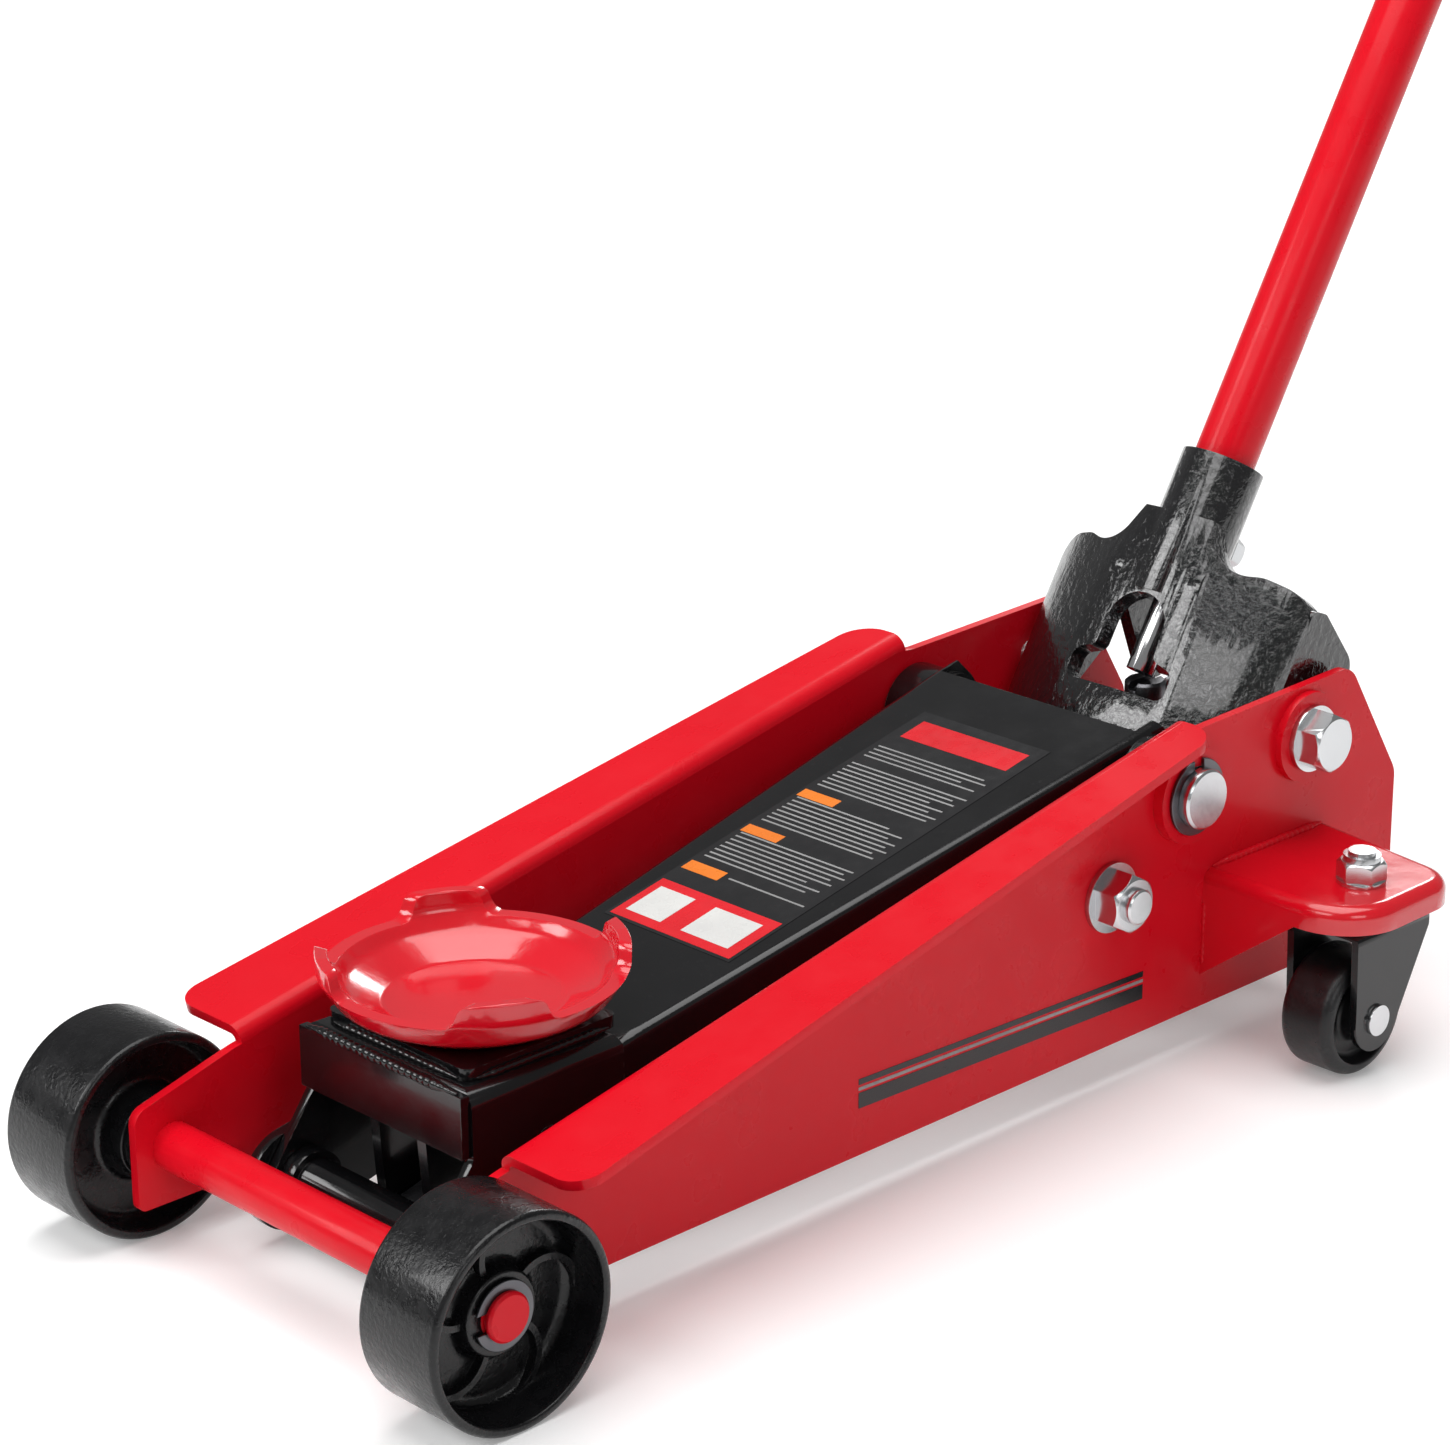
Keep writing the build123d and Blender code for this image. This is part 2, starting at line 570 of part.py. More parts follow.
def lift_arm():
    """The arm: a tapering channel, open below, with lugs at the front and cranks at the rear."""
    rear, straight, front = -2.0, 330.0, 374.0
    crank = in_arm(CROSSHEAD)

    def tapered(profile, inset):
        """A side view made as wide as the arm, less the sheet's thickness for the hollow."""
        rear_half, front_half = ARM_REAR_HALF_WIDTH - inset, ARM_FRONT_HALF_WIDTH - inset
        plan = outline(
            [
                (rear - 60, rear_half), (0, rear_half), (straight, front_half), (front + 5, front_half),
                (front + 5, -front_half), (straight, -front_half), (0, -rear_half), (rear - 60, -rear_half),
            ],
            [0, 300, 300, 0, 0, 300, 300, 0],
        )
        return slab(profile, -90, 90) & extrude(Plane.XY.offset(-130) * plan, 220)

    side = outline(
        [
            (rear, arm_top(rear) + 20), (front, arm_top(front) + 20), (front - 4, -LUG_RADIUS),
            (60, -LUG_RADIUS), (crank[0] + 22, crank[1] - 6), (crank[0] + 4, crank[1] - 18),
            (crank[0] - 17, crank[1] - 4), (-24, -20), (-25, 10),
        ],
        [6, 0, 10, 40, 12, 10, 12, 14, 18],
    )
    blank = outline(
        [(-60, -110), (-60, arm_top(-60)), (front + 5, arm_top(front + 5)), (front + 5, -110)]
    )
    under_web = outline(
        [
            (-200, -200), (-200, arm_top(-200) - ARM_SHEET), (front + 10, arm_top(front + 10) - ARM_SHEET),
            (front + 10, -200),
        ]
    )
    body = tapered(blank, 0)
    body = fillet(
        body.edges().filter_by(lambda edge: edge.center().Z > 20 and abs(edge.center().Y) > 40), 5
    )
    body &= slab(side, -90, 90)
    body -= tapered(under_web, ARM_SHEET)
    # The rear edge of the web stops over the pivot, and the sides reach past it as rounded ears.
    body -= Pos(rear - 60, 0, 0) * Box(120, 2 * (ARM_REAR_HALF_WIDTH - ARM_SHEET), 300)
    lug = slab(
        outline(
            [
                (ARM_LENGTH + LUG_RADIUS, -LUG_RADIUS), (ARM_LENGTH + LUG_RADIUS, LUG_RADIUS - 2),
                (ARM_LENGTH - 70, LUG_RADIUS - 8), (240, -6), (215, -LUG_RADIUS),
            ],
            [26, 24, 30, 8, 3],
        ),
        LUG_INSIDE,
        LUG_OUTSIDE,
    )
    joggle_plan = outline([(215, 52), (335, 46), (338, LUG_OUTSIDE), (235, LUG_OUTSIDE)])
    joggle_side = outline([(215, -LUG_RADIUS), (338, -LUG_RADIUS), (338, 12), (240, -6)], [0, 0, 6, 4])
    joggle = extrude(Plane.XY.offset(-60) * joggle_plan, 120) & slab(joggle_side, 40, 80)
    lugs = both_sides(lug + joggle)
    body += lugs
    hub = across((0, 0), 24, ARM_REAR_HALF_WIDTH - 9, PLATE_INSIDE - 2)
    body += both_sides(hub)
    bores = across((0, 0), ARM_PIN_RADIUS + RUNNING, 50, 100)
    bores += across((ARM_LENGTH, 0), ARM_BAR_RADIUS + FIXED, 50, 80)
    bores += across(crank, 9 + FIXED, 50, 90)
    return ARM_FRAME * (body - both_sides(bores))


def arm_front_bar():
    """The bar through the lugs that the saddle bracket rocks on, with a collar inside each bracket side."""
    bar = across(ARM_FRONT, ARM_BAR_RADIUS, -LUG_OUTSIDE - 4, LUG_OUTSIDE + 4)
    bar = chamfer(bar.edges(), 1.5)
    collar_from = BRACKET_HALF_WIDTH - ARM_SHEET - 0.4
    collar = across(ARM_FRONT, 15.5, collar_from - 8, collar_from)
    return bar + both_sides(collar)


def crosshead_pin():
    """The pin between the cranks that the ram pushes."""
    return across(CROSSHEAD, 9, -ARM_REAR_HALF_WIDTH - 5, ARM_REAR_HALF_WIDTH + 5)


def crosshead_bush():
    """The hard sleeve on the crosshead pin where the ram bears."""
    return across(CROSSHEAD, CROSSHEAD_RADIUS, -22, 22) - across(CROSSHEAD, 9 + FIXED, -30, 30)


# Head -------------------------------------------------------------------------------------------------------

def saddle_bracket():
    """The bracket on the arm's front bar: a folded top and sides, and inside it the radius rod's lugs."""
    x, z = ARM_FRONT
    half, inner = BRACKET_HALF_WIDTH, BRACKET_HALF_WIDTH - ARM_SHEET
    side = outline(
        [
            (x - 8, z + BRACKET_RISE), (x - 8, z + 43), (x + 21, z + 3), (x + 18, z - 19), (x - 16, z - 21),
            (x - 39, z - 7), (x - 73, z + 1), (x - 88, z + 24), (x - 98, z + 38), (x - 98, z + BRACKET_RISE),
        ],
        [3, 6, 14, 16, 16, 6, 8, 8, 8, 6],
    )
    section = outline([(-half, -60), (-half, BRACKET_TOP), (half, BRACKET_TOP), (half, -60)], [0, 9, 9, 0])
    hollow = outline(
        [(-inner, -61), (-inner, BRACKET_TOP - ARM_SHEET), (inner, BRACKET_TOP - ARM_SHEET), (inner, -61)],
        [0, 4, 4, 0],
    )
    channel = extrude(Plane.YZ.offset(-200) * section, 250) - extrude(Plane.YZ.offset(-201) * hollow, 252)
    bracket = channel & slab(side, -half, half)
    level = LEVEL_FRONT
    lug = slab(
        outline(
            [
                (level[0] - 15, BRACKET_TOP - 3), (level[0] - 13, level[1] - 10), (level[0] + 8, level[1] - 13),
                (level[0] + 12, level[1] + 20), (level[0] + 17, BRACKET_TOP - 3),
            ],
            [0, 10, 9, 10, 0],
        ),
        13.5,
        19.5,
    )
    bracket += both_sides(lug)
    bracket -= across(ARM_FRONT, ARM_BAR_RADIUS + RUNNING, -90, 90)
    bracket -= across(level, 6 + FIXED, -30, 30)
    bracket -= across(CROSS_PIN, 7.5 + FIXED, -90, 90)
    return bracket - upright(SADDLE_X, 0, SADDLE_STEM_RADIUS + 1, BRACKET_TOP - 20, BRACKET_TOP + 5)


CROSS_PIN = (ARM_FRONT[0] - 52.0, ARM_FRONT[1] + 38.5)


def bracket_front_plate():
    """The plate welded across the bracket's front."""
    x, z = ARM_FRONT
    return Pos(x - 5.4, 0, z + 59.5) * Box(5, 2 * BRACKET_HALF_WIDTH - 3, 30)


def saddle_base_plate():
    """The square pad on the bracket that the saddle turns on."""
    plate = Pos(SADDLE_X + 2, 0, (BRACKET_TOP + SADDLE_SEAT) / 2) * Box(90, 98, SADDLE_SEAT - BRACKET_TOP)
    plate = fillet(plate.edges().filter_by(Axis.Z), 5)
    return plate - upright(SADDLE_X, 0, SADDLE_STEM_RADIUS + RUNNING, BRACKET_TOP - 10, SADDLE_SEAT + 10)


def bracket_cross_pin():
    """The pin welded through the bracket's sides to stiffen them."""
    return across(CROSS_PIN, 7.5, -BRACKET_HALF_WIDTH - 0.2, BRACKET_HALF_WIDTH + 0.2)


def saddle():
    """The dished saddle with four lugs on its rim, and the stem it turns on."""
    seat = SADDLE_SEAT + 0.3
    top = seat + SADDLE_HEIGHT
    wall = SADDLE_WALL
    profile = outline(
        [
            (0, seat), (45, seat), (63, seat + 9), (SADDLE_RADIUS, top - 10), (SADDLE_RADIUS, top),
            (SADDLE_RADIUS - wall, top), (SADDLE_RADIUS - wall, top - 9), (58.5, seat + 14), (42, seat + 6),
            (0, seat + 6),
        ],
        [0, 8, 14, 8, 1.5, 1.5, 8, 12, 8, 0],
    )
    dish = revolve(Plane.XZ * profile, Axis.Z)
    half_gap = SADDLE_RADIUS * sin(radians(26))
    low = top - SADDLE_RIM_CUT
    for index in range(4):
        notch = outline(
            [
                (-half_gap, low), (half_gap, low), (half_gap + 4, top - 0.8), (half_gap + 30, top + 0.5),
                (half_gap + 30, top + 20), (-half_gap - 30, top + 20), (-half_gap - 30, top + 0.5),
                (-half_gap - 4, top - 0.8),
            ],
            [7, 7, 5, 0, 0, 0, 0, 5],
        )
        dish -= Rot(0, 0, 15 + 90 * index) * extrude(Plane.YZ.offset(40) * notch, 50)
    dish += upright(0, 0, SADDLE_STEM_RADIUS, BRACKET_TOP - 10.5, seat + 2)
    return Pos(SADDLE_X, 0, 0) * dish


def saddle_retaining_ring():
    """The ring under the bracket that keeps the saddle's stem in."""
    top = BRACKET_TOP - ARM_SHEET - 0.5
    ring = upright(SADDLE_X, 0, 19, top - 2.5, top)
    return ring - upright(SADDLE_X, 0, SADDLE_STEM_RADIUS + FIXED, top - 5, top + 5)


def radius_rod():
    """The flat bar that keeps the saddle bracket level."""
    bar = flat_bar(LEVEL_FRONT, LEVEL_REAR, 10, -12.5, 12.5)
    return bar - across(LEVEL_FRONT, 6 + RUNNING, -20, 20) - across(LEVEL_REAR, 6 + RUNNING, -20, 20)


# Handle, drawn upright about the socket's pivot ---------------------------------------------------------------

LOCK_BOLT_Z = 84.0
LOCK_BOLT_HOLE = rod((-20, 0, LOCK_BOLT_Z), (HANDLE_OFFSET - 10, 0, LOCK_BOLT_Z), 5 + FIXED)


def handle_socket():
    """The cast socket: a tube for the handle over a curved apron with a window, and a cheek on each side."""
    half, depth, front_radius = SOCKET_HALF_WIDTH, 11.0, 140.5
    crown = HANDLE_OFFSET + SOCKET_RADIUS - 2
    roller = in_handle(ROLLER)
    apron_low, shoulder = -32.0, 66.0
    bow = Pos(crown - front_radius, 0) * (Circle(front_radius) - Circle(front_radius - depth))
    apron = extrude(Plane.XY.offset(-40) * bow, 140)
    front_view = outline(
        [
            (-half, apron_low), (-half, shoulder), (-half + 26, shoulder + 2),
            (-SOCKET_RADIUS - 14, shoulder - 4), (-SOCKET_RADIUS, shoulder + 22),
            (SOCKET_RADIUS, shoulder + 22), (SOCKET_RADIUS + 14, shoulder - 4),
            (half - 26, shoulder + 2), (half, shoulder), (half, apron_low),
        ],
        [12, 16, 18, 20, 0, 0, 20, 18, 16, 12],
    )
    slot, foot = SOCKET_SLOT_HALF_WIDTH, SOCKET_SLOT_HALF_WIDTH + 14
    window = outline(
        [
            (-foot, -11), (-foot, 5), (-slot, 9), (-slot, 42), (slot, 42), (slot, 9), (foot, 5), (foot, -11),
        ],
        [5, 6, 5, slot - 0.5, slot - 0.5, 5, 6, 5],
    )
    socket = apron & extrude(Plane.YZ * front_view, 80)
    socket += Pos(HANDLE_OFFSET, 0, 44) * Cylinder(
        SOCKET_RADIUS, SOCKET_TOP - 44, align=(Align.CENTER, Align.CENTER, Align.MIN)
    )
    socket -= extrude(Plane.YZ * window, 80)
    cheek = slab(
        outline(
            [
                (18, -20), (-18, -20), (-38, 26), (-32, 49),
                (4, shoulder - 3), (15, shoulder - 5), (15, 0),
            ],
            [15, 17, 12, 12, 6, 4, 12],
        ),
        half - 10,
        half,
    )
    lug = flat_bar(roller, (HANDLE_OFFSET + 7, 54), 12, 22, 30)
    socket += both_sides(cheek + lug)
    socket -= across((0, 0), 9 + RUNNING, -90, 90)
    socket -= across(roller, ROLLER_PIN_RADIUS + FIXED, -40, 40)
    socket -= Pos(HANDLE_OFFSET, 0, HANDLE_START - 1) * Cylinder(
        HANDLE_RADIUS + RUNNING, 200, align=(Align.CENTER, Align.CENTER, Align.MIN)
    )
    socket -= upright(HANDLE_OFFSET, 0, RELEASE_ROD_RADIUS + 1, 30, 60)
    socket -= LOCK_BOLT_HOLE
    return HANDLE_FRAME * socket


def handle_lock_bolt():
    """The bolt in the back of the socket that clamps the handle."""
    skin = HANDLE_OFFSET - SOCKET_RADIUS
    shank = rod((skin - 4, 0, LOCK_BOLT_Z), (HANDLE_OFFSET - HANDLE_RADIUS - 0.5, 0, LOCK_BOLT_Z), 5)
    head = hexagon(17, (skin - 4, 0, LOCK_BOLT_Z), (skin - 13, 0, LOCK_BOLT_Z))
    return HANDLE_FRAME * (shank + head)


def pump_roller_pin():
    """The pin between the socket's inner lugs that carries the pump roller."""
    return across(ROLLER, ROLLER_PIN_RADIUS, -33, 33)


def pump_roller():
    """The roller that presses the pump plunger."""
    return across(ROLLER, ROLLER_RADIUS, -17, 17) - across(ROLLER, ROLLER_PIN_RADIUS + RUNNING, -20, 20)


def handle_tube(start, end):
    """A length of the handle's tube."""
    tube = upright(HANDLE_OFFSET, 0, HANDLE_RADIUS, start, end)
    return tube - upright(HANDLE_OFFSET, 0, HANDLE_BORE, start - 1, end + 1)


def handle_lower():
    """The lower half of the handle, closed at the foot round the release rod."""
    foot = upright(HANDLE_OFFSET, 0, HANDLE_BORE + 1, HANDLE_START, HANDLE_START + 12)
    foot -= upright(HANDLE_OFFSET, 0, RELEASE_ROD_RADIUS + FIXED, HANDLE_START - 1, HANDLE_START + 13)
    return HANDLE_FRAME * (handle_tube(HANDLE_START, HANDLE_JOINT) + foot)


def handle_upper():
    """The upper half of the handle, with a spigot that fits inside the lower half."""
    spigot = upright(HANDLE_OFFSET, 0, HANDLE_BORE - FIXED, HANDLE_JOINT - 60, HANDLE_JOINT + 1)
    spigot -= upright(HANDLE_OFFSET, 0, HANDLE_BORE - 3, HANDLE_JOINT - 61, HANDLE_JOINT + 2)
    return HANDLE_FRAME * (handle_tube(HANDLE_JOINT + 0.2, HANDLE_END) + spigot)


def handle_grip():
    """The ribbed grip with a closed end."""
    start, end = HANDLE_END - 190, HANDLE_END + 6
    grip = upright(HANDLE_OFFSET, 0, 20, start, end)
    grip = fillet(grip.edges(), 3)
    for index in range(11):
        rib = Pos(HANDLE_OFFSET, 0, start + 22 + 15 * index) * Torus(20.2, 1.6)
        grip -= rib
    return HANDLE_FRAME * (grip - upright(HANDLE_OFFSET, 0, HANDLE_RADIUS + FIXED, start - 1, HANDLE_END))


def release_rod():
    """The bright rod from the handle's foot to the valve's knuckle."""
    shaft = upright(HANDLE_OFFSET, 0, RELEASE_ROD_RADIUS, 4, HANDLE_START + 12)
    return HANDLE_FRAME * shaft


# Every piece, by name ----------------------------------------------------------------------------------------

def left_and_right(name, piece):
    """A piece on the left and its mirror image on the right, as two named pieces."""
    return {f"{name}_left": piece, f"{name}_right": mirror(piece, about=Plane.XZ)}


pieces = {
    **left_and_right("side_plate", side_plate()),
    "front_axle": front_axle(),
    "front_wheel_spacers": both_sides(front_wheel_spacer()),
    "front_wheel_rings": both_sides(front_wheel_ring()),
    **left_and_right("caster_wing", caster_wing()),
    "caster_bolts": both_sides(caster_bolt()),
    "caster_bearings": both_sides(caster_bearing()),
    "rear_cross_plate": rear_cross_plate(),
    "arm_pivot_pins": both_sides(arm_pivot_pin()),
    "arm_pivot_rings": both_sides(arm_pivot_ring()),
    "socket_bolts": both_sides(socket_bolt()),
    "unit_mount_bolts": both_sides(unit_mount_bolt()),
    "unit_mount_straps": both_sides(unit_mount_strap()),
    "unit_trunnion": across(TRUNNION, 9, -PLATE_INSIDE + 1, PLATE_INSIDE - 1),
    "pump_block": pump_block(),
    "ram_gland_nut": ram_gland_nut(),
    "filler_plug": filler_plug(),
    "radius_rod_anchor": radius_rod_anchor(),
    "radius_rod_rear_pin": across(LEVEL_REAR, 6, -24, 24),
    "spring_anchor_bar": spring_anchor_bar(),
    "return_springs": both_sides(return_spring()),
    "pump_spring": pump_spring(),
    "release_valve": release_valve(),
    **left_and_right("front_wheel", front_wheel()),
    **left_and_right("caster_fork", caster_fork()),
    **left_and_right("caster_axle", caster_axle()),
    **left_and_right("caster_wheel", caster_wheel()),
    "lift_arm": lift_arm(),
    "arm_front_bar": arm_front_bar(),
    "crosshead_pin": crosshead_pin(),
    "crosshead_bush": crosshead_bush(),
    "lift_ram": lift_ram(),
    "pump_plunger": pump_plunger(),
    "saddle_bracket": saddle_bracket(),
    "bracket_front_plate": bracket_front_plate(),
    "saddle_base_plate": saddle_base_plate(),
    "bracket_cross_pin": bracket_cross_pin(),
    "radius_rod_front_pin": across(LEVEL_FRONT, 6, -22, 22),
    "radius_rod": radius_rod(),
    "saddle": saddle(),
    "saddle_retaining_ring": saddle_retaining_ring(),
    "handle_socket": handle_socket(),
    "handle_lock_bolt": handle_lock_bolt(),
    "pump_roller_pin": pump_roller_pin(),
    "pump_roller": pump_roller(),
    "handle_lower": handle_lower(),
    "handle_upper": handle_upper(),
    "handle_grip": handle_grip(),
    "release_rod": release_rod(),
}

# The origin is midway between the grip's end and the front of the wheels, on the ground.
rear_reach = pieces["handle_grip"].bounding_box().min.X
origin_x = (rear_reach + WHEEL_RADIUS) / 2

os.makedirs("parts", exist_ok=True)
for name, piece in pieces.items():
    export_step(Pos(-origin_x, 0, 0) * piece, f"parts/{name}.step")
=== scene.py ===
import math

import bpy
from mathutils import Matrix, Vector


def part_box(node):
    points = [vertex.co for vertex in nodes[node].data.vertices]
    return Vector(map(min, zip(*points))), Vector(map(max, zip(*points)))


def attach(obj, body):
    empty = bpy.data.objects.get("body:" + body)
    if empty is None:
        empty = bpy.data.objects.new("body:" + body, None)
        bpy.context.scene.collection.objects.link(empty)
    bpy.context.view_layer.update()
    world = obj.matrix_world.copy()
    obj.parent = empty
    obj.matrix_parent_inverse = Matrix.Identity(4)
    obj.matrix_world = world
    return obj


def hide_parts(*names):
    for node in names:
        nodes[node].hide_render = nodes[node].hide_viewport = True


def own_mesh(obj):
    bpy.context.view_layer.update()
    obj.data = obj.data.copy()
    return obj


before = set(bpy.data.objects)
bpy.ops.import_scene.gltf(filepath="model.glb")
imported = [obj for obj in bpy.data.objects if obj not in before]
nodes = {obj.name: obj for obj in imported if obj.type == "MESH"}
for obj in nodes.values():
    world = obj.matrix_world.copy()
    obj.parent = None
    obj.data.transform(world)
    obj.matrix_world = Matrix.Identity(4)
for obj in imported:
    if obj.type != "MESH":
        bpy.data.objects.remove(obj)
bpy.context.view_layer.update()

MM = 0.001

# Working origin: on the ground under the front axle, as in the CAD source.
low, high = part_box("front_wheel_left")
AXLE_X = (low.x + high.x) / 2


def at(x, y, z):
    """A point given in millimetres from the front axle's foot, in the row frame, in metres."""
    return Vector((AXLE_X + x * MM, y * MM, z * MM))


# Camera: the photograph's viewing angle -------------------------------------------------------------------

camera_data = bpy.data.cameras.new("camera")
camera_data.sensor_width = 36
camera_data.sensor_fit = "HORIZONTAL"
camera_data.lens = 98.31
camera_data.clip_end = 100
camera = bpy.data.objects.new("camera", camera_data)
bpy.context.scene.collection.objects.link(camera)
right = Vector((-0.71911, 0.69488, -0.00461))
up = Vector((-0.23436, -0.23628, 0.94300))
forward = Vector((-0.65418, -0.67920, -0.33276))
turn = Matrix((right, up, -forward)).transposed().to_4x4()
camera.matrix_world = Matrix.Translation(at(955.81, 1265.75, 831.97)) @ turn
bpy.context.scene.camera = camera

# Materials ------------------------------------------------------------------------------------------------


class Shader:
    """A node material built up in object coordinates, which are metres in the row frame."""

    def __init__(self, name, colour, roughness, metallic=0.0, coat=0.0, specular=0.5):
        self.material = bpy.data.materials.new(name)
        self.material.use_nodes = True
        self.tree = self.material.node_tree
        self.bsdf = self.tree.nodes["Principled BSDF"]
        self.bsdf.inputs["Metallic"].default_value = metallic
        self.bsdf.inputs["Specular IOR Level"].default_value = specular
        self.bsdf.inputs["Coat Weight"].default_value = coat
        self.bsdf.inputs["Coat Roughness"].default_value = 0.06
        self.bsdf.inputs["Base Color"].default_value = (*colour, 1)
        self.bsdf.inputs["Roughness"].default_value = roughness
        self.colour = colour
        self.coords = self.tree.nodes.new("ShaderNodeTexCoord").outputs["Object"]

    def node(self, kind, **values):
        made = self.tree.nodes.new(kind)
        for key, value in values.items():
            if hasattr(made, key):
                setattr(made, key, value)
            else:
                made.inputs[key.replace("_", " ")].default_value = value
        return made

    def link(self, out, into):
        self.tree.links.new(out, into)

    def noise(self, scale, detail=3.0, stretch=(1, 1, 1), distortion=0.0):
        mapping = self.node("ShaderNodeMapping")
        mapping.inputs["Scale"].default_value = stretch
        self.link(self.coords, mapping.inputs["Vector"])
        made = self.node("ShaderNodeTexNoise", Scale=scale, Detail=detail, Distortion=distortion)
        self.link(mapping.outputs["Vector"], made.inputs["Vector"])
        return made.outputs["Fac"]

    def ranged(self, value, from_low, from_high, to_low, to_high):
        made = self.node("ShaderNodeMapRange")
        self.link(value, made.inputs["Value"])
        numbers = {"From Min": from_low, "From Max": from_high, "To Min": to_low, "To Max": to_high}
        for key, number in numbers.items():
            made.inputs[key].default_value = number
        return made.outputs["Result"]

    def times(self, first, second):
        made = self.node("ShaderNodeMath", operation="MULTIPLY")
        self.link(first, made.inputs[0])
        self.link(second, made.inputs[1])
        return made.outputs["Value"]

    def mix(self, share, first, second):
        made = self.node("ShaderNodeMix", data_type="RGBA")
        self.link(share, made.inputs["Factor"])
        for value, socket in ((first, made.inputs[6]), (second, made.inputs[7])):
            if isinstance(value, tuple):
                socket.default_value = (*value, 1)
            else:
                self.link(value, socket)
        return made.outputs[2]

    def edges(self, radius=1.2):
        """1 on sharp edges and 0 on open faces."""
        bevel = self.node("ShaderNodeBevel", samples=4, Radius=radius * MM)
        normal = self.node("ShaderNodeNewGeometry").outputs["Normal"]
        dot = self.node("ShaderNodeVectorMath", operation="DOT_PRODUCT")
        self.link(bevel.outputs["Normal"], dot.inputs[0])
        self.link(normal, dot.inputs[1])
        return self.ranged(dot.outputs["Value"], 0.98, 0.80, 0.0, 1.0)

    def bump(self, height, strength, distance, under=None):
        made = self.node("ShaderNodeBump", Strength=strength, Distance=distance)
        self.link(height, made.inputs["Height"])
        if under is not None:
            self.link(under.outputs["Normal"], made.inputs["Normal"])
        self.link(made.outputs["Normal"], self.bsdf.inputs["Normal"])
        return made

    def cloud(self, shade, scale, low_at=0.35, high_at=0.7):
        """Broad, soft variation from the base colour to another shade."""
        share = self.ranged(self.noise(scale, 4), low_at, high_at, 0, 1)
        return self.mix(share, self.colour, shade)

    def finish(self, colour=None, rough=None):
        if colour is not None:
            self.link(colour, self.bsdf.inputs["Base Color"])
        if rough is not None:
            self.link(rough, self.bsdf.inputs["Roughness"])
        return self.material


def enamel(
    name, colour, shade, worn, roughness, coat, peel=0.10, wear=0.55, dust=None, specular=0.5, lumps=0.10
):
    """Sprayed enamel: orange peel, slight unevenness, and chips on sharp edges."""
    made = Shader(name, colour, roughness, coat=coat, specular=specular)
    base = made.cloud(shade, 9)
    if dust is not None:
        specks = made.ranged(made.noise(420, 2), 0.66, 0.74, 0, 0.35)
        base = made.mix(specks, base, dust)
    chips = made.times(made.edges(), made.ranged(made.noise(160, 5), 0.52, 0.66, 0, wear))
    base = made.mix(chips, base, worn)
    rough = made.ranged(made.noise(45, 5), 0.3, 0.7, roughness * 0.75, roughness * 1.35)
    waves = made.bump(made.noise(60, 2), lumps, 0.0010)
    made.bump(made.noise(650, 2), peel, 0.0003, under=waves)
    return made.finish(base, rough)


def casting(name, colour, shade, worn, roughness, coat, grain=0.5, scale=330, specular=0.5):
    """Sand-cast iron under paint: a pebbled skin with fine pits."""
    made = Shader(name, colour, roughness, coat=coat, specular=specular)
    base = made.cloud(shade, 30)
    chips = made.times(made.edges(1.6), made.ranged(made.noise(200, 5), 0.5, 0.64, 0, 0.6))
    base = made.mix(chips, base, worn)
    rough = made.ranged(made.noise(120, 4), 0.3, 0.7, roughness * 0.7, roughness * 1.4)
    pebbles = made.bump(made.noise(scale, 3, distortion=0.4), grain, 0.0011)
    made.bump(made.noise(1400, 2), 0.2, 0.0003, under=pebbles)
    return made.finish(base, rough)


def steel(name, colour, shade, roughness, stretch, scratch):
    """Plated or turned steel: directional lines, tarnish, and a soft sheen."""
    made = Shader(name, colour, roughness, metallic=1.0)
    base = made.cloud(shade, 24)
    lines = made.noise(300, 2, stretch)
    rough = made.ranged(lines, 0.3, 0.7, roughness * 0.92, roughness * 1.12)
    made.bump(lines, scratch, 0.0001)
    return made.finish(base, rough)


def moulded(name, colour, shade, roughness, grain=0.3, scale=900, scuff=None):
    """Moulded rubber or nylon: fine grain, with paler scuffs in patches."""
    made = Shader(name, colour, roughness, specular=0.4)
    base = made.cloud(shade, 35)
    if scuff is not None:
        patches = made.times(
            made.ranged(made.noise(55, 5), 0.5, 0.7, 0, 0.6), made.ranged(made.noise(500, 3), 0.4, 0.7, 0, 1)
        )
        base = made.mix(patches, base, scuff)
    rough = made.ranged(made.noise(150, 4), 0.3, 0.7, roughness * 0.8, roughness * 1.25)
    made.bump(made.noise(scale, 3), grain, 0.0004)
    return made.finish(base, rough)


